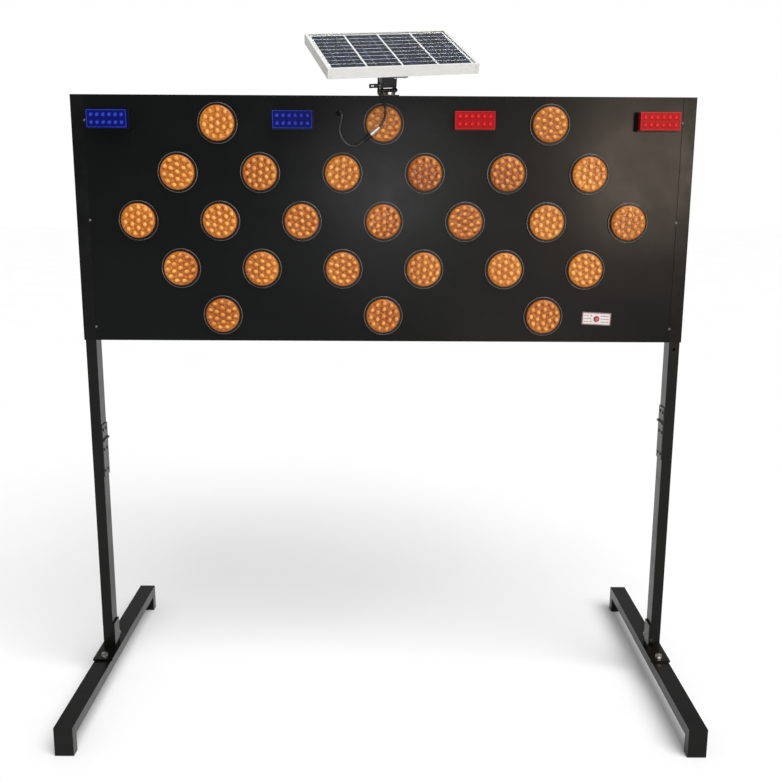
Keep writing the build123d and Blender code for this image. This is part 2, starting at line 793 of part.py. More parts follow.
def solar_screws():
    screws = []
    for x, y in strap_screw_places():
        screw = rod(screw_head_radius, (x, y, arm_top - screw_head), (x, y, arm_top))
        screws.append(screw + rod(screw_radius, (x, y, arm_top), (x, y, panel_low + frame_wall + 5)))
    under = arm_top - bracket_sheet
    for y in arm_screw_places:
        screw = rod(screw_head_radius, (0, y, under - screw_head), (0, y, under))
        screws.append(screw + rod(screw_radius, (0, y, under), (0, y, panel_low + 4)))
    half_d = panel_depth / 2
    for s in (-1, 1):
        face = panel_y + s * half_d
        for x in (panel_x - panel_width / 2 + 9, panel_x + panel_width / 2 - 9):
            for z in (panel_low + 7, panel_rise - 7):
                screws.append(rod(2.5, (x, face, z), (x, face + s * 1.2, z)))
    return head_frame * group(screws)


def panel_block(shrink, z0, z1):
    """A box on the panel's outline, drawn in on all four sides."""
    half_w, half_d = panel_width / 2 - shrink, panel_depth / 2 - shrink
    return block(panel_x - half_w, panel_x + half_w, panel_y - half_d, panel_y + half_d, z0, z1)


def solar_frame():
    body = panel_block(0, panel_low, panel_rise)
    body -= panel_block(frame_wall, panel_low + frame_wall, panel_rise - frame_wall)
    body -= panel_block(frame_lip, panel_rise - frame_wall - 1, panel_rise + 1)
    body -= panel_block(frame_foot, panel_low - 1, panel_low + frame_wall + 1)
    for x, y in strap_screw_places():
        body -= rod(screw_radius + hole_gap, (x, y, panel_low - 1), (x, y, panel_low + frame_wall + 1))
    return head_frame * body


def solar_glass():
    top = panel_rise - frame_wall
    return head_frame * panel_block(frame_wall + 0.3, top - glass_thickness, top)


def solar_cells():
    top = panel_rise - frame_wall - glass_thickness
    return head_frame * panel_block(frame_wall + 0.3, top - cell_thickness, top)


box_top = panel_rise - frame_wall - glass_thickness - cell_thickness
box_y = panel_y + box_behind


def junction_box():
    width, depth, height = box_size
    near, far, low = box_y - depth / 2, box_y + depth / 2, box_top - height
    body = block(-width / 2, width / 2, near, far, low, box_top)
    body = fillet(body.edges().filter_by(Axis.Z), box_corner)
    snout_z = box_top - height / 2
    snout = rod(snout_radius, (pivot_x, near - snout_length, snout_z), (pivot_x, near, snout_z))
    return head_frame * (body + snout)


# ---------------------------------------------------------------- cable
def corner_radii(points):
    """The largest arc that each corner of a route has room for."""
    radii = []
    for a, b, c in zip(points, points[1:], points[2:]):
        before, after = b - a, c - b
        turn = math.radians(before.get_angle(after))
        radii.append(0.45 * min(before.length, after.length) / math.tan(turn / 2))
    return radii


def cord_tube(name, points):
    """A round cable along straight runs joined by tangent arcs."""
    points = [Vector(*p) for p in points]
    radii = corner_radii(points)
    path = FilletPolyline(*points, radius=radii) if radii else Line(points[0], points[1])
    start = Plane(origin=points[0], z_dir=points[1] - points[0])
    body = sweep(start * Circle(cable_radius), path)
    expected = math.pi * cable_radius ** 2 * path.length
    print(name, "length", round(path.length, 1), "volume ratio", round(body.volume / expected, 4),
          "radii", [round(r) for r in radii])
    return body


def in_frame(frame, points):
    """Points of a moving frame, at rest, as points of the whole model."""
    return [tuple((frame * Pos(*p)).position) for p in points]


head_route = [(pivot_x, 63.5, 89.9), (-27, 53, 89.9), (-27, 41, 86), (-27, 30, 77.5), (-27, 19, 66),
              (-27, 9, 52), (-27, 3, 36), (-27, 0.4, 18), (pivot_x, 0, 0)]
pivot_point = in_frame(head_frame, [(pivot_x, 0, 0)])[0]
foot_route = [(-15.2, -1.7, 1720.5), (-14.6, -9, 1715.4), (-13.2, -17.5, 1713.2), (-11.6, -26, 1713.4)]
plug_axis_start = (-12.0, -54.0, 1625.6)
plug_axis_end = (-54.0, -50.3, 1590.2)
front_route = [(-9, -33.5, 1704), (-3.5, -38, 1693.5), (2.5, -44.2, 1683), (5.2, -49, 1669.5),
               (3.5, -52.5, 1655), (-0.4, -54.5, 1642), (-5.13, -54.6, 1631.39), plug_axis_start]
tail_route = [plug_axis_end, (-60.87, -49.7, 1584.41), (-69.5, -48.2, 1578.6), (-80.5, -47, 1575.5),
              (-94, -46, 1577), (-106.5, -45, 1586.5), (-116, -45, 1601), (-119.7, -48, 1618.5),
              (-116.8, -53, 1633), (-113.8, -58.5, 1643), (-112, -63.5, 1651), (-112.3, -64.8, 1657.5),
              (-114.9, -62.8, 1662.6), (-118.8, -58.8, 1664), (-122.6, -51.8, 1662.3), (-124, -44.5, 1661),
              (gland_x, front - gland_proud, gland_z)]


def along_plug(distance):
    start, end = Vector(*plug_axis_start), Vector(*plug_axis_end)
    return tuple(start + (end - start).normalized() * distance)


plug_length = (Vector(*plug_axis_end) - Vector(*plug_axis_start)).length


def cable_plug():
    body = cone(cable_radius + 0.5, plug_radius - 0.8, along_plug(0), along_plug(14))
    return body + rod(plug_radius, along_plug(14), along_plug(30))


def cable_socket():
    body = rod(socket_radius, along_plug(30), along_plug(46))
    return body + rod(plug_tail_radius, along_plug(46), along_plug(plug_length))


def cable_gland():
    mouth = front - gland_proud
    body = disc(gland_x, gland_z, gland_flange_radius, front - gland_flange, front)
    body += disc(gland_x, gland_z, gland_radius, front, front + 14)
    lip = front - gland_flange
    body += cone(gland_radius, cable_radius + gland_lip, (gland_x, lip, gland_z), (gland_x, mouth, gland_z))
    nut = disc(gland_x, gland_z, gland_flange_radius, front + sheet, front + sheet + 4)
    return body + nut


# ---------------------------------------------------------------- build
save("face_sheet", face_sheet())
save("back_sheet", back_sheet())
save("left_upright", upright("left"))
save("right_upright", upright("right"))
save("top_rail", rail(board_top - rail_height, True))
save("bottom_rail", rail(board_bottom, False))
save("inner_stiffeners", stiffeners())
save("seam_welds", seam_welds())
save("back_screws", back_screws())
save("leg_lock_bolts", leg_lock_bolts())

save("lamp_bezels", group([lamp_bezel(x, z) for x, z in lamp_places]))
save("lamp_lenses", group([lamp_lens(x, z) for x, z in lamp_places]))
save("lamp_boards", group([lamp_board(x, z) for x, z in lamp_places]))

save("strobe_bases", group([strobe_base(x) for x in strobe_x]))
save("blue_strobe_lenses", group([strobe_lens(x) for x in strobe_x if x < 0]))
save("red_strobe_lenses", group([strobe_lens(x) for x in strobe_x if x > 0]))
save("strobe_boards", group([strobe_board(x) for x in strobe_x]))

save("control_plate", control_plate())
save("control_gasket", control_gasket())
save("button_bushing", button_bushing())
save("mode_button", mode_button())

save("access_door", access_door())
save("door_hinge", door_hinge())
save("door_latch", door_latch())
save("battery", battery())
save("controller", controller())

for side in ("left", "right"):
    save(f"{side}_upper_leg", upper_leg(side))
    save(f"{side}_upper_leaf", upper_leaf(side))
    save(f"{side}_lower_leaf", lower_leaf(side))
    save(f"{side}_lower_leg", lower_leg(side))
    save(f"{side}_foot_bracket", foot_bracket(side))
    save(f"{side}_foot_beam", foot_beam(side))
    save(f"{side}_foot_caps", foot_caps(side))
    save(f"{side}_foot_bolts", foot_bolts(side))

save("bracket_foot", bracket_foot())
save("bracket_arm", bracket_arm())
save("swivel_bolt", swivel_bolt())
save("tilt_bolt", tilt_bolt())
save("cross_strap", cross_strap())
save("solar_screws", solar_screws())
save("solar_frame", solar_frame())
save("solar_glass", solar_glass())
save("solar_cells", solar_cells())
save("junction_box", junction_box())

head_tube = cord_tube("cable_head", in_frame(head_frame, head_route))
save("cable_head", head_tube + Pos(*pivot_point) * Sphere(cable_radius))
save("cable_crossing", cord_tube("cable_crossing", foot_route))
save("cable_front", cord_tube("cable_front", front_route))
save("cable_tail", cord_tube("cable_tail", tail_route))
save("cable_plug", cable_plug())
save("cable_socket", cable_socket())
save("cable_gland", cable_gland())
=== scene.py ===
"""A free-standing arrow board on two folding legs: its looks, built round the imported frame.

Lengths are in metres. Numbers in millimetres are multiplied by MM.
"""
import json
import math
import random

import bmesh
import bpy
from mathutils import Matrix, Vector


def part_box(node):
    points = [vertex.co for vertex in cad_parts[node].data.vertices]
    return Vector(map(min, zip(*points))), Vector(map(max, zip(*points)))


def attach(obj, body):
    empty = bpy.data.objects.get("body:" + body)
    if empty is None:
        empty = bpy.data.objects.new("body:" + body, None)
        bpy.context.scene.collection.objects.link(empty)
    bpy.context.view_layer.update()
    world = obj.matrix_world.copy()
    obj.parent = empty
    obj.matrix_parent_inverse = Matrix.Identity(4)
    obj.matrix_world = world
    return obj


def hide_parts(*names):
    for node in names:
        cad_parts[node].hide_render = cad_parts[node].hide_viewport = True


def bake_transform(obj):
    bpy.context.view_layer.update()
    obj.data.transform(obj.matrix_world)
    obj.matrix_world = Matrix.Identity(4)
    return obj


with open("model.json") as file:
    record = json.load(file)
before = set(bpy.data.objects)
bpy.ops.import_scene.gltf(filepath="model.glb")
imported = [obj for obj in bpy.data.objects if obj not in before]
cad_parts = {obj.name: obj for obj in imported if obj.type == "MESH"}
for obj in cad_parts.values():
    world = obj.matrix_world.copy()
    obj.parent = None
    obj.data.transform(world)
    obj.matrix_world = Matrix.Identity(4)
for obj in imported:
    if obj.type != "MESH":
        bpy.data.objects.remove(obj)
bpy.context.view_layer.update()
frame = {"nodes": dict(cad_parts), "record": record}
nodes = frame["nodes"]
MM = 0.001


def link_object(name, data):
    """A new object of the data, linked into the scene."""
    thing = bpy.data.objects.new(name, data)
    bpy.context.scene.collection.objects.link(thing)
    return thing


def facing(direction):
    """The rotation that turns a camera or light along a direction, as a 4 x 4 matrix."""
    return Vector(direction).to_track_quat("-Z", "Y").to_matrix().to_4x4()


# ---------------------------------------------------------------- camera
CAMERA_PLACE = (0.01174, -2.78956, 1.47834)
CAMERA_FORWARD = (0.00410, 0.97819, -0.20768)
CAMERA_ROLL = math.radians(0.29)
CAMERA_LENS = 45.13
CAMERA_SENSOR = 36
CLIP_START, CLIP_END = 0.1, 100

camera_data = bpy.data.cameras.new("camera")
camera_data.lens = CAMERA_LENS
camera_data.sensor_width = CAMERA_SENSOR
camera_data.clip_start = CLIP_START
camera_data.clip_end = CLIP_END
camera = link_object("camera", camera_data)
camera.matrix_world = (Matrix.Translation(CAMERA_PLACE) @ facing(CAMERA_FORWARD)
                       @ Matrix.Rotation(CAMERA_ROLL, 4, "Z"))
bpy.context.scene.camera = camera
bpy.context.scene.view_settings.view_transform = "Standard"

# ---------------------------------------------------------------- frame of the tilted solar panel
SWIVEL = Vector((16, -12, 1709)) * MM
HINGE_OFFSET = Vector((0, 20, 17)) * MM
YAW, LEAN, TILT = (math.radians(a) for a in (15.1, -3.8, 24.0))
head_frame = (Matrix.Translation(SWIVEL) @ Matrix.Rotation(YAW, 4, "Z")
              @ Matrix.Translation(HINGE_OFFSET) @ Matrix.Rotation(LEAN, 4, "Y")
              @ Matrix.Rotation(TILT, 4, "X"))

# ---------------------------------------------------------------- places read from the frame
face_low, face_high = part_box("face_sheet")
FRONT = face_low.y
BOARD_MIDDLE = (face_low.z + face_high.z) / 2
lens_low, lens_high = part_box("lamp_lenses")
LENS_FACE = lens_low.y
LAMP_PITCH_X, LAMP_PITCH_Z = 226 * MM, 131 * MM
SIX_LAMPS = [-2.5, -1.5, -0.5, 0.5, 1.5, 2.5]
LAMP_COLUMNS = [[-2, 0, 2], SIX_LAMPS, [-3, -2, -1, 0, 1, 2, 3], SIX_LAMPS, [-2, 0, 2]]
LAMPS = [(column * LAMP_PITCH_X, BOARD_MIDDLE + (2 - row) * LAMP_PITCH_Z)
         for row, columns in enumerate(LAMP_COLUMNS) for column in columns]
LENS_RADIUS = (lens_high.z - lens_low.z) / 2 - 2 * LAMP_PITCH_Z


# ---------------------------------------------------------------- materials
NOISE_LOW, NOISE_HIGH = 0.3, 0.7  # the stretch in which nearly all of a noise texture's values lie
GLOSS_SCALE = 12
GRAIN_SCALE, GRAIN_STRENGTH = 900, 0.6
PAINT_COAT_ROUGH = 0.1
LENS_ROUGH, LENS_COAT_ROUGH = 0.36, 0.15
LENS_GRAIN = 0.2 * MM


def new_material(name):
    material = bpy.data.materials.new(name)
    material.use_nodes = True
    tree = material.node_tree
    return material, tree, tree.nodes["Principled BSDF"]


def node(tree, kind, **values):
    """Adds a shader node. A value named like a socket sets that socket, any other the node."""
    made = tree.nodes.new(kind)
    for key, value in values.items():
        if key in made.inputs:
            made.inputs[key].default_value = value
        else:
            setattr(made, key, value)
    return made


def noise(tree, scale, detail=3.0, stretch=(1, 1, 1)):
    """A noise texture in the part's frame, in features per metre."""
    coords = node(tree, "ShaderNodeTexCoord")
    mapping = node(tree, "ShaderNodeMapping", Scale=stretch)
    tree.links.new(coords.outputs["Object"], mapping.inputs["Vector"])
    texture = node(tree, "ShaderNodeTexNoise", Scale=scale, Detail=detail)
    tree.links.new(mapping.outputs["Vector"], texture.inputs["Vector"])
    return texture.outputs["Fac"]


def ramp(tree, factor, stops):
    """A colour ramp. Stops are (place, colour)."""
    made = node(tree, "ShaderNodeValToRGB")
    elements = made.color_ramp.elements
    while len(elements) < len(stops):
        elements.new(0.5)
    for element, (place, colour) in zip(elements, stops):
        element.position = place
        element.color = (*colour, 1)
    tree.links.new(factor, made.inputs["Fac"])
    return made.outputs["Color"]


def spread(tree, factor, low, high):
    """The factor's middle stretch spread over low to high."""
    made = node(tree, "ShaderNodeMapRange", **{"From Min": NOISE_LOW, "From Max": NOISE_HIGH,
                                               "To Min": low, "To Max": high})
    tree.links.new(factor, made.inputs["Value"])
    return made.outputs["Result"]


def add(tree, first, second):
    """The sum of two factors."""
    made = node(tree, "ShaderNodeMath", operation="ADD")
    tree.links.new(first, made.inputs[0])
    tree.links.new(second, made.inputs[1])
    return made.outputs[0]


def bump(tree, shader, heights):
    """Chains bump nodes into the shader. Heights are (factor, distance in metres, strength)."""
    last = None
    for factor, distance, strength in heights:
        made = node(tree, "ShaderNodeBump", Distance=distance, Strength=strength)
        tree.links.new(factor, made.inputs["Height"])
        if last:
            tree.links.new(last, made.inputs["Normal"])
        last = made.outputs["Normal"]
    if last:
        tree.links.new(last, shader.inputs["Normal"])


def shade(colour, share):
    return tuple(min(1.0, c * share) for c in colour)


def finish_of(name, colour, rough, metallic=0.0, tone=0.15, tone_scale=20, rough_spread=0.06,
              grain=0.0, wave=0.0, wave_scale=3, wave_stretch=(1, 1, 1), coat=0.0, specular=0.5,
              stretch=(1, 1, 1)):
    """A painted, moulded or metal surface with uneven tone and gloss, fine grain and slow waves.

    Tone is the share by which the colour varies. Grain and wave are heights in metres.
    """
    material, tree, shader = new_material(name)
    patches = noise(tree, tone_scale, 4, stretch)
    stops = [(NOISE_LOW, shade(colour, 1 - tone)), (NOISE_HIGH, shade(colour, 1 + tone))]
    tree.links.new(ramp(tree, patches, stops), shader.inputs["Base Color"])
    gloss = spread(tree, noise(tree, GLOSS_SCALE, 5, stretch), rough - rough_spread,
                   rough + rough_spread)
    tree.links.new(gloss, shader.inputs["Roughness"])
    shader.inputs["Metallic"].default_value = metallic
    shader.inputs["Specular IOR Level"].default_value = specular
    shader.inputs["Coat Weight"].default_value = coat
    shader.inputs["Coat Roughness"].default_value = PAINT_COAT_ROUGH
    heights = []
    if wave:
        heights.append((noise(tree, wave_scale, 1, wave_stretch), wave, 1.0))
    if grain:
        heights.append((noise(tree, GRAIN_SCALE, 2), grain, GRAIN_STRENGTH))
    bump(tree, shader, heights)
    return material


def lens_material(name, dark, middle, bright, coat=0.15, specular=0.22):
    """Coloured plastic with small lenses. The point attribute tone paints light and shade into the
    colour: it is 0, painted shade, between them, and 1, a painted highlight, on them.
    """
    material, tree, shader = new_material(name)
    tone = node(tree, "ShaderNodeAttribute", attribute_name="tone")
    uneven = spread(tree, noise(tree, 5, 1), -0.16, 0.16)
    fine = spread(tree, noise(tree, 160, 2), -0.08, 0.08)
    total = add(tree, add(tree, tone.outputs["Fac"], uneven), fine)
    colour = ramp(tree, total, [(0.0, dark), (0.45, middle), (1.0, bright)])
    tree.links.new(colour, shader.inputs["Base Color"])
    shader.inputs["Roughness"].default_value = LENS_ROUGH
    shader.inputs["Specular IOR Level"].default_value = specular
    shader.inputs["Coat Weight"].default_value = coat
    shader.inputs["Coat Roughness"].default_value = LENS_COAT_ROUGH
    bump(tree, shader, [(noise(tree, 220, 2), LENS_GRAIN, 0.5)])
    return material


def clear_glass(name):
    """Clear cover glass, nearly without reflection."""
    material, tree, shader = new_material(name)
    stops = [(NOISE_LOW, (0.96, 0.98, 1.0)), (NOISE_HIGH, (1.0, 1.0, 1.0))]
    tint = ramp(tree, noise(tree, 6, 2), stops)
    tree.links.new(tint, shader.inputs["Base Color"])
    tree.links.new(spread(tree, noise(tree, 25, 4), 0.02, 0.09), shader.inputs["Roughness"])
    shader.inputs["Transmission Weight"].default_value = 1.0
    shader.inputs["IOR"].default_value = 1.06
    return material


def cell_material(name):
    """Blue-black silicon with faint crystal patches."""
    material, tree, shader = new_material(name)
    coords = node(tree, "ShaderNodeTexCoord")
    grains = node(tree, "ShaderNodeTexVoronoi", Scale=130)
    tree.links.new(coords.outputs["Object"], grains.inputs["Vector"])
    stops = [(0.0, (0.003, 0.007, 0.020)), (0.6, (0.006, 0.012, 0.032)),
             (1.0, (0.010, 0.018, 0.044))]
    tree.links.new(ramp(tree, grains.outputs["Color"], stops), shader.inputs["Base Color"])
    tree.links.new(spread(tree, noise(tree, 60), 0.28, 0.42), shader.inputs["Roughness"])
    shader.inputs["Specular IOR Level"].default_value = 0.15
    return material


materials = {
    "sheet_black": finish_of("sheet_paint", (0.0030, 0.0036, 0.0034), 0.27, tone=0.2, tone_scale=5,
                             rough_spread=0.02, grain=0.00003, wave=0.005, wave_scale=3.2,
                             wave_stretch=(0.7, 1, 1), specular=0.10),
    "frame_black": finish_of("frame_paint", (0.0045, 0.0048, 0.0046), 0.27, tone=0.3,
                             grain=0.00005, wave=0.0006, wave_scale=14, specular=0.10),
    "leg_black": finish_of("leg_paint", (0.0032, 0.0034, 0.0028), 0.24, tone=0.35, tone_scale=9,
                           grain=0.00006, wave=0.0008, wave_scale=18, specular=0.17),
    "black_steel": finish_of("black_steel", (0.006, 0.006, 0.006), 0.3, tone=0.25, tone_scale=60,
                             grain=0.00008, specular=0.3),
    "bezel_black": finish_of("bezel_plastic", (0.005, 0.005, 0.005), 0.35, tone=0.2,
                             tone_scale=40, grain=0.00005, specular=0.2),
    # The bezels' rims are black plastic, painted light grey for the highlight along their rounded
    # edges.
    "rim_highlight_grey": finish_of("rim_painted_highlight", (0.075, 0.077, 0.075), 0.22, tone=0.45, tone_scale=14,
                          grain=0.00003),
    "amber_lens": lens_material("amber_lens", (0.17, 0.026, 0.002), (0.50, 0.145, 0.012),
                                (0.95, 0.46, 0.09)),
    "blue_lens": lens_material("blue_lens", (0.001, 0.003, 0.10), (0.002, 0.008, 0.17),
                               (0.03, 0.06, 0.50), coat=0.0, specular=0.08),
    "red_lens": lens_material("red_lens", (0.36, 0.001, 0.003), (0.48, 0.003, 0.006),
                              (0.74, 0.025, 0.03), coat=0.0, specular=0.08),
    "circuit_green": finish_of("circuit_board", (0.02, 0.10, 0.04), 0.45, tone_scale=200,
                               grain=0.0001),
    "plate_white": finish_of("plate_print", (0.66, 0.60, 0.59), 0.3, tone=0.03, tone_scale=60,
                             grain=0.00003),
    "rubber_black": finish_of("rubber", (0.02, 0.02, 0.02), 0.7, tone_scale=200, grain=0.00015),
    "button_red": finish_of("button_red", (0.62, 0.02, 0.045), 0.25, tone=0.1, tone_scale=200,
                            coat=0.5),
    "bushing_red": finish_of("bushing_red", (0.13, 0.012, 0.02), 0.35, tone=0.15, tone_scale=200,
                             grain=0.00005),
    "zinc_steel": finish_of("zinc_steel", (0.62, 0.62, 0.60), 0.32, metallic=1.0, tone=0.2,
                            tone_scale=150, grain=0.00008),
    "panel_frame": finish_of("panel_frame", (0.74, 0.74, 0.715), 0.42, tone=0.04, tone_scale=20,
                             grain=0.00005, stretch=(1, 6, 6)),
    "panel_glass": clear_glass("panel_glass"),
    "panel_back": finish_of("panel_back", (0.78, 0.79, 0.80), 0.5, tone=0.03, tone_scale=40,
                            grain=0.00003),
    "panel_cells": cell_material("panel_cells"),
    "busbar": finish_of("busbar", (0.42, 0.45, 0.50), 0.35, metallic=0.6, tone=0.15,
                        tone_scale=300),
    "cable_rubber": finish_of("cable_rubber", (0.007, 0.007, 0.007), 0.32, tone=0.2,
                              tone_scale=90, grain=0.00008, coat=0.2),
    "plug_metal": finish_of("plug_metal", (0.50, 0.50, 0.49), 0.3, metallic=0.9, tone=0.2,
                            tone_scale=200, grain=0.0001),
    "plastic_black": finish_of("plastic_black", (0.006, 0.006, 0.006), 0.45, tone_scale=120,
                               grain=0.0001, specular=0.2),
    "battery_grey": finish_of("battery_case", (0.06, 0.06, 0.065), 0.5, tone_scale=60,
                              grain=0.0001),
    "mark_grey": finish_of("mark_ink", (0.06, 0.05, 0.055), 0.5, tone=0.3, tone_scale=400),
    "mark_red": finish_of("border_ink", (0.22, 0.06, 0.05), 0.5, tone=0.3, tone_scale=300),
    "seam_dark": finish_of("seam_shadow", (0.003, 0.003, 0.003), 0.8, tone=0.3, tone_scale=40,
                           specular=0.1),
    "weld_grey": finish_of("weld_dot", (0.07, 0.07, 0.065), 0.35, tone=0.3, tone_scale=300,
                           grain=0.0002),
}

slot_of = {entry["node"]: entry["material_slot"] for entry in frame["record"]["subparts"]}
# Nodes that look different from the rest of their slot.
own_finish = {"seam_welds": "weld_grey", "solar_cells": "panel_back", "cable_plug": "plug_metal"}
for name, thing in nodes.items():
    material = materials[own_finish.get(name, slot_of[name])]
    thing.data.materials.clear()
    thing.data.materials.append(material)


# ---------------------------------------------------------------- mesh helpers
BEVEL_SEGMENTS = 2
BEVEL_FROM = math.radians(40)


def new_mesh(name, build):
    """A mesh that build fills as a bmesh."""
    mesh = bpy.data.meshes.new(name)
    made = bmesh.new()
    build(made)
    made.to_mesh(mesh)
    made.free()
    return mesh


def smooth_shading(mesh):
    mesh.polygons.foreach_set("use_smooth", [True] * len(mesh.polygons))


def piece_from(name, build, material, body, smooth=False):
    """Makes a piece that rides on a body and has the look of a material slot."""
    mesh = new_mesh(name, build)
    if smooth:
        smooth_shading(mesh)
    thing = link_object(name, mesh)
    mesh.materials.append(materials[material])
    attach(thing, body)
    return thing


def soften(thing, width):
    """Rounds a thing's edges with a bevel modifier."""
    bevel = thing.modifiers.new("rounded_edges", "BEVEL")
    bevel.width = width
    bevel.segments = BEVEL_SEGMENTS
    bevel.limit_method = "ANGLE"
    bevel.angle_limit = BEVEL_FROM


def tone_of(made):
    """The point attribute that the lens materials read, which carries their painted light and
    shade.
    """
    return made.verts.layers.float.get("tone") or made.verts.layers.float.new("tone")


def lathe(made, centre, profile, segments, tones=None):
    """Turns a profile of (radius, distance towards -Y) about an axis along Y.

    The last radius may be 0. Tones are one for each point of the profile.
    """
    tone_layer = tone_of(made)
    rings = []
    for index, (radius, proud) in enumerate(profile):
        ring = []
        for step in range(segments if radius else 1):
            angle = 2 * math.pi * step / segments
            place = Vector((radius * math.cos(angle), -proud, radius * math.sin(angle)))
            vertex = made.verts.new(centre + place)
            vertex[tone_layer] = tones[index] if tones else 0.0
            ring.append(vertex)
        rings.append(ring)
    for inner, outer in zip(rings, rings[1:]):
        for step in range(segments):
            after = (step + 1) % segments
            if len(outer) == 1:
                made.faces.new((inner[step], inner[after], outer[0]))
            else:
                made.faces.new((inner[step], inner[after], outer[after], outer[step]))


SLAB_FACES = ((0, 1, 3, 2), (4, 6, 7, 5), (0, 4, 5, 1), (2, 3, 7, 6), (0, 2, 6, 4), (1, 5, 7, 3))


def slab(made, low, high, place=Matrix.Identity(4), tone=0.0):
    """A box between two corners, placed by a matrix."""
    tone_layer = tone_of(made)
    corners = [made.verts.new(place @ Vector((x, y, z))) for x in (low[0], high[0])
               for y in (low[1], high[1]) for z in (low[2], high[2])]
    for corner in corners:
        corner[tone_layer] = tone
    for face in SLAB_FACES:
        made.faces.new([corners[index] for index in face])


def border(made, half_w, half_h, width, y0, y1, place, tone=0.0):
    """A rectangular border in the XZ plane, from four slabs that meet without overlap."""
    for side in (-1, 1):
        x0, x1 = sorted((side * half_w, side * (half_w - width)))
        slab(made, (x0, y0, -half_h), (x1, y1, half_h), place, tone)
        z0, z1 = sorted((side * half_h, side * (half_h - width)))
        slab(made, (-half_w + width, y0, z0), (half_w - width, y1, z1), place, tone)


# ---------------------------------------------------------------- cable
CABLE_RADIUS = 3.25 * MM
RING_STEPS, LENGTH_STEPS = 5, 8  # how finely a cable is divided, round and along
# The routes are in millimetres: the first in the tilted panel's frame, the others in the part's.
HEAD_ROUTE = [(-27, 63.5, 89.9), (-27, 53, 89.9), (-27, 41, 86), (-27, 30, 77.5), (-27, 19, 66),
              (-27, 9, 52), (-27, 3, 36), (-27, 0.4, 18), (-27, 0, 0)]
EDGE_ROUTE = [(-15.2, -1.7, 1720.5), (-14.6, -9, 1715.4), (-13.2, -17.5, 1713.2),
              (-11.6, -27, 1714), (-10.3, -33.5, 1711.5), (-8, -36, 1703.5),
              (-3.5, -38.5, 1693.5), (2.5, -44.2, 1683), (5.2, -49, 1669.5), (3.5, -52.5, 1655),
              (-0.4, -54.5, 1642), (-5.13, -54.6, 1631.39), (-12, -54, 1625.6)]
TAIL_ROUTE = [(-54, -50.3, 1590.2), (-60.87, -49.7, 1584.41), (-69.5, -48.2, 1578.6),
              (-80.5, -47, 1575.5), (-94, -46, 1577), (-106.5, -45, 1586.5), (-116, -45, 1601),
              (-119.7, -48, 1618.5), (-116.8, -53, 1633), (-113.8, -58.5, 1643),
              (-112, -63.5, 1651), (-112.3, -64.8, 1657.5), (-114.9, -62.8, 1662.6),
              (-118.8, -58.8, 1664), (-122.6, -51.8, 1662.3), (-124, -44.5, 1661),
              (-124, -37, 1661)]
head_points = [head_frame @ (Vector(p) * MM) for p in HEAD_ROUTE]
pivot = head_points[-1]
edge_points = [pivot] + [Vector(p) * MM for p in EDGE_ROUTE]
tail_points = [Vector(p) * MM for p in TAIL_ROUTE]


def mesh_along(points, radius):
    """The mesh of a smooth NURBS curve with the points as its control points."""
    data = bpy.data.curves.new("route", "CURVE")
    data.dimensions = "3D"
    data.bevel_depth = radius
    data.bevel_resolution = RING_STEPS
    data.resolution_u = LENGTH_STEPS
    data.use_fill_caps = radius > 0
    spline = data.splines.new("NURBS")
    spline.points.add(len(points) - 1)
    for control, point in zip(spline.points, points):
        control.co = (*point, 1)
    spline.order_u = 3
    spline.use_endpoint_u = True
    curve = link_object("route", data)
    depsgraph = bpy.context.evaluated_depsgraph_get()
    mesh = bpy.data.meshes.new_from_object(curve.evaluated_get(depsgraph))
    bpy.data.objects.remove(curve)
    return mesh


def route_line(points):
    """Points along the NURBS line of a route."""
    return [vertex.co.copy() for vertex in mesh_along(points, 0).vertices]


def tube_mesh(name, points):
    """A cable as a mesh."""
    mesh = mesh_along(points, CABLE_RADIUS)
    mesh.name = name
    smooth_shading(mesh)
    return link_object(name, mesh)


head_cable = tube_mesh("panel_lead", head_points)
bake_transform(head_cable)
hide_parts("cable_head")
edge_cable = tube_mesh("edge_lead", edge_points)
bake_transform(edge_cable)
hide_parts("cable_crossing", "cable_front")
tail_cable = tube_mesh("tail_lead", tail_points)
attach(tail_cable, "board")
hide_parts("cable_tail")
for cable in (head_cable, edge_cable, tail_cable):
    cable.data.materials.clear()
    cable.data.materials.append(materials["cable_rubber"])

[tuple(p) for p in route_line(head_points)]
[tuple(p) for p in route_line(edge_points)]
[tuple(p) for p in route_line(tail_points)]


# ---------------------------------------------------------------- lamps
# A lamp's face has small lenses in rings of (count, distance from the centre), and their sizes
# and places are shares of the lens's radius. Tones run from 0, dark, to 1, bright; they paint
# light and shade into the lens's colour: painted highlights on the small lenses, and painted
# shade at the rim and round each small lens.
BUMP_RINGS = ((1, 0.0), (6, 0.42), (11, 0.77))
BUMP_SHARE = 0.165
LENS_RINGS, LENS_SPOKES = 26, 66
LENS_CROWN, LENS_BUMP = 2.8 * MM, 2.2 * MM
CROWN_EDGE = 0.10  # the width over which the crown falls off at the rim
FACE_TONE = 0.47
# Painted shade towards the lens's rim.
RIM_SHADE, RIM_START, RIM_WIDTH = 0.20, 0.9, 0.1
# These widths and distances are in the small lens's own radii.
BUMP_REACH = 1.15
# Painted highlights on each small lens: a bright core, and a crescent bright on one side and darker
# on the other.
CORE_HIGHLIGHT, CORE_WIDTH = 0.30, 0.45
CRESCENT_HIGHLIGHT, CRESCENT_AT, CRESCENT_WIDTH = 0.50, 0.62, 0.2
# Painted shade in a ring round each small lens, fading out near the rim.
VALLEY_SHADE, VALLEY_AT, VALLEY_WIDTH = 0.42, 1.12, 0.16
VALLEY_END, VALLEY_FADE = 0.97, 0.1
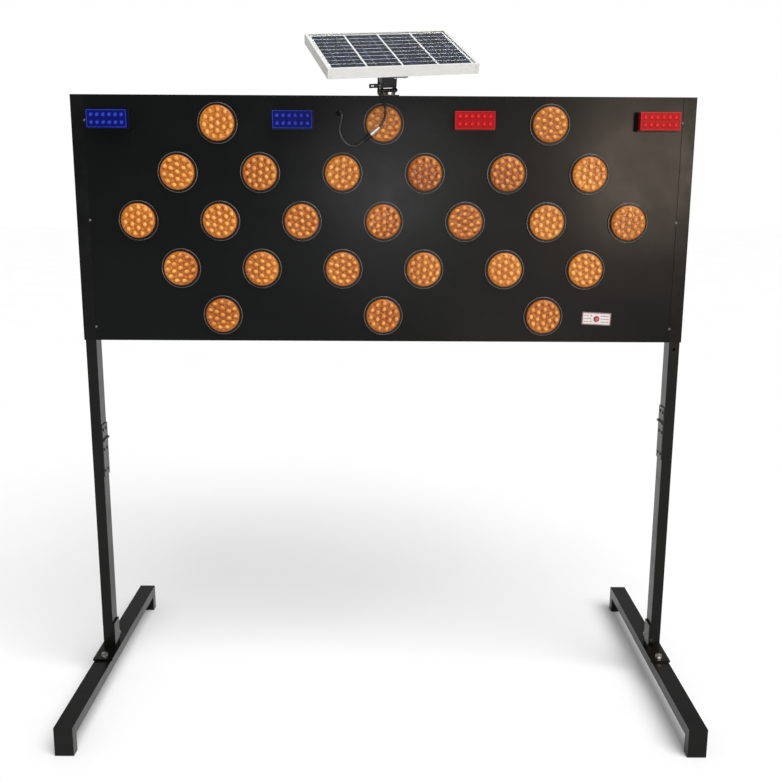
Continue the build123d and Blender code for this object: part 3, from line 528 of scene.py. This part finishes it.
# How far the lamps differ from each other, and a lamp's small lenses: the turn of the rings,
# the direction of the painted highlight crescents, the strength of each small lens's painted
# highlights, and the lamp's tone.
SPIN_SPREAD, HIGHLIGHT_SIDE_RANGE, HIGHLIGHT_STRENGTH_RANGE, TONE_SPREAD = 0.12, (-0.5, 2.2), (0.6, 1.25), 0.06
# The bezel's rounded edge, as shares of its thickness inwards and of its rise.
RIM_PROFILE = ((0, 0), (0.15, 1), (0.5, 1.3), (0.85, 1), (1, 0))
RIM_THICKNESS, RIM_RISE, RIM_SEGMENTS = 2.4 * MM, 0.7 * MM, 56
GROOVE_FLOOR = FRONT - 2 * MM
TAB_START, TAB_END, TAB_HEIGHT, TAB_HALF = 0.4 * MM, 5.6 * MM, 4.2 * MM, 1.6 * MM


def smooth_step(value):
    value = max(0.0, min(1.0, value))
    return value * value * (3 - 2 * value)


def hill(distance, centre, width):
    """A bell curve that is 1 at its centre."""
    return math.exp(-((distance - centre) / width) ** 2)


def lens_surface(x, z, bumps, highlight_side):
    """The height and painted tone of a lamp's face at a place, among small lenses of (x, z, light).

    Light is how strong a small lens's painted highlights are. The tone paints light and shade into
    the colour: a highlight on each small lens, as a core and a crescent that lies towards the
    direction given last and turns to shade on the far side, and painted shade at the rim and round
    each small lens.
    """
    from_centre = math.hypot(x, z)
    height = LENS_CROWN * smooth_step((1.0 - from_centre) / CROWN_EDGE)
    tone = FACE_TONE - RIM_SHADE * smooth_step((from_centre - RIM_START) / RIM_WIDTH)
    nearest = math.inf
    for bump_x, bump_z, light in bumps:
        away = math.hypot(x - bump_x, z - bump_z) / BUMP_SHARE
        nearest = min(nearest, away)
        if away < BUMP_REACH:
            height += LENS_BUMP * smooth_step(BUMP_REACH - away)
            # A painted highlight on the small lens: its crescent is bright on one side and painted
            # shade on the far side.
            side = math.cos(math.atan2(z - bump_z, x - bump_x) - highlight_side)
            tone += light * (CORE_HIGHLIGHT * hill(away, 0, CORE_WIDTH)
                             + CRESCENT_HIGHLIGHT * side * hill(away, CRESCENT_AT, CRESCENT_WIDTH))
    # Painted shade in a ring round each small lens.
    tone -= (VALLEY_SHADE * hill(nearest, VALLEY_AT, VALLEY_WIDTH)
             * smooth_step((VALLEY_END - from_centre) / VALLEY_FADE))
    return height, tone


def lamp_faces(made):
    """Every lamp's crowned face, with 18 small lenses moulded in it, closed by a flat back."""
    random.seed(7)
    tone_layer = tone_of(made)
    for x, z in LAMPS:
        spin = random.uniform(-SPIN_SPREAD, SPIN_SPREAD)
        highlight_side = random.uniform(*HIGHLIGHT_SIDE_RANGE)
        bumps = []
        for count, share in BUMP_RINGS:
            for step in range(count):
                angle = math.pi / 2 + spin + 2 * math.pi * step / count
                bumps.append((share * math.cos(angle), share * math.sin(angle),
                              random.uniform(*HIGHLIGHT_STRENGTH_RANGE)))
        shift = random.uniform(-TONE_SPREAD, TONE_SPREAD)
        rings = []
        for ring in range(LENS_RINGS + 1):
            share = ring / LENS_RINGS
            made_ring = []
            for spoke in range(LENS_SPOKES if ring else 1):
                angle = 2 * math.pi * spoke / LENS_SPOKES
                px, pz = share * math.cos(angle), share * math.sin(angle)
                height, tone = lens_surface(px, pz, bumps, highlight_side)
                vertex = made.verts.new((x + px * LENS_RADIUS, LENS_FACE - height,
                                         z + pz * LENS_RADIUS))
                vertex[tone_layer] = max(0.0, min(1.0, tone + shift))
                made_ring.append(vertex)
            rings.append(made_ring)
        for spoke in range(LENS_SPOKES):
            after = (spoke + 1) % LENS_SPOKES
            made.faces.new((rings[0][0], rings[1][spoke], rings[1][after]))
            for inner, outer in zip(rings[1:], rings[2:]):
                made.faces.new((inner[spoke], outer[spoke], outer[after], inner[after]))
        made.faces.new(list(reversed(rings[-1])))


def lamp_rims(made):
    """The rounded edge of each bezel, painted light grey as a highlight."""
    bezel_low, bezel_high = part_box("lamp_bezels")
    outer = (bezel_high.z - bezel_low.z) / 2 - 2 * LAMP_PITCH_Z
    profile = [(outer - inwards * RIM_THICKNESS, rise * RIM_RISE) for inwards, rise in RIM_PROFILE]
    for x, z in LAMPS:
        lathe(made, Vector((x, bezel_low.y, z)), profile, RIM_SEGMENTS)


def lamp_tabs(made):
    """Locating tabs in each bezel's groove, at the top and at the right."""
    for x, z in LAMPS:
        for angle in (math.pi / 2, 0):
            place = Matrix.Translation((x, 0, z)) @ Matrix.Rotation(-angle, 4, "Y")
            slab(made, (LENS_RADIUS + TAB_START, GROOVE_FLOOR - TAB_HEIGHT, -TAB_HALF),
                 (LENS_RADIUS + TAB_END, GROOVE_FLOOR, TAB_HALF), place)


piece_from("lamp_lens_faces", lamp_faces, "amber_lens", "board", smooth=True)
piece_from("lamp_bezel_rims", lamp_rims, "rim_highlight_grey", "board", smooth=True)
piece_from("lamp_bezel_tabs", lamp_tabs, "bezel_black", "board")

# ---------------------------------------------------------------- strobes
STROBE_WIDTH = 108 * MM
STROBE_ROWS, STROBE_COLUMNS = 2, 6
STROBE_MARGIN_X, STROBE_MARGIN_Z = 0.6, 0.35  # free room at the ends, in pitches of the domes
DOME_RADIUS, DOME_HEIGHT, DOME_SEGMENTS = 6.4 * MM, 1.5 * MM, 16
# A dome's profile, in shares of its radius and height, with a dimple in front of its light.
DOME_PROFILE = [(1.0, 0.0), (0.86, 0.55), (0.66, 0.95), (0.42, 1.0), (0.2, 0.8), (0.0, 0.7)]
# Tones along the profile: painted shade at a dome's foot, a painted highlight near its crest, and
# less in the dimple.
DOME_SHADE_AND_HIGHLIGHT = [0.05, 0.2, 0.6, 1.0, 0.75, 0.6]
# The borders get a light tone, a painted highlight along their raised edges.
BORDER_INSET, BORDER_WIDTH, BORDER_HEIGHT, BORDER_HIGHLIGHT = 0.6 * MM, 1.8 * MM, 0.8 * MM, 0.75
BORDER_ROUNDING = 0.3 * MM


def strobe_faces(colour):
    """The small lenses and the raised borders on the faces of one colour's two strobes, whose tones
    paint highlights and shade.
    """
    low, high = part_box(f"{colour}_strobe_lenses")
    middle_z, height = (low.z + high.z) / 2, high.z - low.z
    centres = (low.x + STROBE_WIDTH / 2, high.x - STROBE_WIDTH / 2)
    pitch_x = STROBE_WIDTH / (STROBE_COLUMNS + STROBE_MARGIN_X)
    pitch_z = height / (STROBE_ROWS + STROBE_MARGIN_Z)
    profile = [(share * DOME_RADIUS, rise * DOME_HEIGHT) for share, rise in DOME_PROFILE]

    def domes(made):
        for x in centres:
            for column in range(STROBE_COLUMNS):
                for row in range(STROBE_ROWS):
                    place = Vector((x + (column - (STROBE_COLUMNS - 1) / 2) * pitch_x, low.y,
                                    middle_z + (row - (STROBE_ROWS - 1) / 2) * pitch_z))
                    lathe(made, place, profile, DOME_SEGMENTS, DOME_SHADE_AND_HIGHLIGHT)

    def borders(made):
        for x in centres:
            border(made, STROBE_WIDTH / 2 - BORDER_INSET, height / 2 - BORDER_INSET, BORDER_WIDTH,
                   low.y - BORDER_HEIGHT, low.y, Matrix.Translation((x, 0, middle_z)),
                   BORDER_HIGHLIGHT)

    look = f"{colour}_lens"
    piece_from(f"{colour}_strobe_domes", domes, look, "board", smooth=True)
    soften(piece_from(f"{colour}_strobe_borders", borders, look, "board"), BORDER_ROUNDING)


strobe_faces("blue")
strobe_faces("red")

# ---------------------------------------------------------------- control plate print
button_low, button_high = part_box("mode_button")
PLATE_CENTRE = Vector(((button_low.x + button_high.x) / 2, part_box("control_plate")[0].y,
                       (button_low.z + button_high.z) / 2))
PLATE_TURN = math.radians(2.6)
plate_place = Matrix.Translation(PLATE_CENTRE) @ Matrix.Rotation(PLATE_TURN, 4, "Y")
PRINT = 0.12 * MM  # how far print and seams stand proud
ROW_PITCH = 8.5
LEFT_BARS = ((-35, -30), (-28, -22.5))
RIGHT_BARS = ((12, 16.5), (18, 26), (27.5, 34.5))
BAR_HALF, SHAFT_HALF, HEAD_HALF = 0.8 * MM, 0.7 * MM, 2.4 * MM
HEAD_LENGTH, ARROW_LENGTH = 4.2, 6.0
LEFT_TIP, RIGHT_TIP = -18.5, -14.5  # of the arrows that point left and the one that points right
PLATE_BORDER = (39.6 * MM, 16.6 * MM, 1.7 * MM)  # half its width, half its height, its stroke


def plate_bars(made, spans, z):
    for x0, x1 in spans:
        slab(made, (x0 * MM, -PRINT, z - BAR_HALF), (x1 * MM, 0, z + BAR_HALF), plate_place)


def plate_print(made):
    """Bars and arrows without meaning, in three rows beside the button."""
    for row in (-1, 0, 1):
        z = row * ROW_PITCH * MM
        plate_bars(made, LEFT_BARS, z)
        tip, way = (LEFT_TIP, 1) if row else (RIGHT_TIP, -1)
        neck, end = tip + way * HEAD_LENGTH, tip + way * ARROW_LENGTH
        slab(made, (min(neck, end) * MM, -PRINT, z - SHAFT_HALF),
             (max(neck, end) * MM, 0, z + SHAFT_HALF), plate_place)
        corners = ((tip, z), (neck, z + HEAD_HALF), (neck, z - HEAD_HALF))
        made.faces.new([made.verts.new(plate_place @ Vector((x * MM, -PRINT, corner_z)))
                        for x, corner_z in corners])
        plate_bars(made, RIGHT_BARS, z)


def plate_border(made):
    border(made, *PLATE_BORDER, -PRINT, 0, plate_place)


piece_from("control_plate_print", plate_print, "mark_grey", "board")
piece_from("control_plate_border", plate_border, "mark_red", "board")

# ---------------------------------------------------------------- board seams
SEAM_HALF = 0.7 * MM


def seams(made):
    """The fine dark joints between the uprights and the face and back sheets."""
    for x in (face_low.x, face_high.x):
        for y0, y1 in ((FRONT - PRINT, FRONT), (-FRONT, -FRONT + PRINT)):
            slab(made, (x - SEAM_HALF, y0, face_low.z), (x + SEAM_HALF, y1, face_high.z))


piece_from("board_seams", seams, "seam_dark", "board")

# ---------------------------------------------------------------- solar panel
# These numbers are millimetres in the tilted panel's frame.
PANEL_X, PANEL_Y = 10.3, 36.5
PANEL_WIDTH, PANEL_DEPTH = 410, 300
LAMINATE_LOW, LAMINATE_HIGH = 96.9, 97.9
BACKING_TOP, CELL_TOP, BUSBAR_TOP = (LAMINATE_HIGH - below for below in (0.3, 0.12, 0.04))
BACKING_INSET = 2
FRAME_LIP = 8
CELL_COLUMNS, CELL_ROWS = 4, 9
COLUMN_GAP, ROW_GAP = 5.5, 2.8
EDGE_MARGIN_X, EDGE_MARGIN_Y = 7.0, 8.0
BUSBARS, BUSBAR_HALF = 2, 0.5


def panel_slab(made, x0, x1, y0, y1, z0, z1):
    slab(made, (x0 * MM, y0 * MM, z0 * MM), (x1 * MM, y1 * MM, z1 * MM), head_frame)


def backing(made):
    """The white sheet behind the cells."""
    half_w, half_d = PANEL_WIDTH / 2 - BACKING_INSET, PANEL_DEPTH / 2 - BACKING_INSET
    panel_slab(made, PANEL_X - half_w, PANEL_X + half_w, PANEL_Y - half_d, PANEL_Y + half_d,
               LAMINATE_LOW, BACKING_TOP)


def cell_places():
    """The low and high x and y of each cell."""
    open_w = PANEL_WIDTH - 2 * (FRAME_LIP + EDGE_MARGIN_X)
    open_d = PANEL_DEPTH - 2 * (FRAME_LIP + EDGE_MARGIN_Y)
    cell_w = (open_w - (CELL_COLUMNS - 1) * COLUMN_GAP) / CELL_COLUMNS
    cell_d = (open_d - (CELL_ROWS - 1) * ROW_GAP) / CELL_ROWS
    for column in range(CELL_COLUMNS):
        for row in range(CELL_ROWS):
            x = PANEL_X - open_w / 2 + column * (cell_w + COLUMN_GAP)
            y = PANEL_Y - open_d / 2 + row * (cell_d + ROW_GAP)
            yield x, x + cell_w, y, y + cell_d


def cells(made):
    for corners in cell_places():
        panel_slab(made, *corners, BACKING_TOP, CELL_TOP)


def busbars(made):
    """The silver strips that run along each column, over the cells and the gaps between them."""
    for x0, x1, y0, y1 in cell_places():
        for bar in range(BUSBARS):
            x = x0 + (x1 - x0) * (bar + 0.5) / BUSBARS
            panel_slab(made, x - BUSBAR_HALF, x + BUSBAR_HALF, y0 - ROW_GAP / 2, y1 + ROW_GAP / 2,
                       CELL_TOP, BUSBAR_TOP)


back_sheet = piece_from("solar_backing", backing, "panel_back", "solar_head")
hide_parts("solar_cells")
piece_from("solar_cell_tiles", cells, "panel_cells", "solar_head")
piece_from("solar_busbars", busbars, "busbar", "solar_head")

# ---------------------------------------------------------------- softened edges of the nodes
EDGE_WIDTHS = {
    "solar_frame": 0.8, "bracket_arm": 0.4, "bracket_foot": 0.4, "control_plate": 0.4,
    "strobe_bases": 0.4, "lamp_bezels": 0.35,
}
SIDE_EDGE_WIDTHS = {
    "upright": 0.9, "lower_leg": 0.9, "upper_leg": 0.7, "foot_beam": 1.6, "foot_bracket": 0.6,
    "foot_caps": 1.2,
}
for name, width in EDGE_WIDTHS.items():
    soften(nodes[name], width * MM)
for name, width in SIDE_EDGE_WIDTHS.items():
    for side in ("left", "right"):
        soften(nodes[f"{side}_{name}"], width * MM)

# ---------------------------------------------------------------- floor, lights and world
FLOOR_HALF = 30.0
SUN_STRENGTH, SUN_ANGLE = 3.15, math.radians(50)
SUN_DIRECTION = (-0.30, 0.48, -0.82)
WORLD_STRENGTH, SEEN_WORLD_STRENGTH = 0.35, 1.0
WHITE = (1, 1, 1, 1)


def floor_grid(made):
    bmesh.ops.create_grid(made, x_segments=1, y_segments=1, size=FLOOR_HALF)


floor_data = new_mesh("floor", floor_grid)
floor = link_object("floor", floor_data)
floor_data.materials.append(finish_of("floor_paint", (0.89, 0.89, 0.89), 0.75, tone=0.01,
                                      tone_scale=1.5))


def glow(name, place, aim, size, power, colour=(1, 1, 1)):
    """An area light that shows only in reflections."""
    data = bpy.data.lights.new(name, "AREA")
    data.shape = "RECTANGLE"
    data.size, data.size_y = size
    data.energy = power
    data.color = colour
    light = link_object(name, data)
    light.matrix_world = Matrix.Translation(place) @ facing(Vector(aim) - Vector(place))
    light.visible_diffuse = False


sun_data = bpy.data.lights.new("sun", "SUN")
sun_data.energy = SUN_STRENGTH
sun_data.angle = SUN_ANGLE
sun = link_object("sun", sun_data)
sun.matrix_world = facing(SUN_DIRECTION)
glow("middle_glow", (0.06, -3.5, 1.46), (0.03, 0, 1.47), (0.5, 0.5), 15)
glow("warm_glow", (1.58, -3.5, 1.60), (0.7, 0, 1.53), (0.4, 0.6), 40, (1.0, 0.80, 0.62))
glow("low_glow", (0.9, -3.2, 0.55), (0.5, 0, 1.1), (0.8, 0.25), 4, (1.0, 0.78, 0.62))

# The world lights the part softly, and the camera sees it as plain white.
world = bpy.data.worlds.new("world")
bpy.context.scene.world = world
world.use_nodes = True
tree = world.node_tree
background = tree.nodes["Background"]
background.inputs["Color"].default_value = WHITE
background.inputs["Strength"].default_value = WORLD_STRENGTH
seen = node(tree, "ShaderNodeBackground", Color=WHITE, Strength=SEEN_WORLD_STRENGTH)
path = node(tree, "ShaderNodeLightPath")
mix = node(tree, "ShaderNodeMixShader")
tree.links.new(path.outputs["Is Camera Ray"], mix.inputs["Fac"])
tree.links.new(background.outputs["Background"], mix.inputs[1])
tree.links.new(seen.outputs["Background"], mix.inputs[2])
tree.links.new(mix.outputs["Shader"], tree.nodes["World Output"].inputs["Surface"])
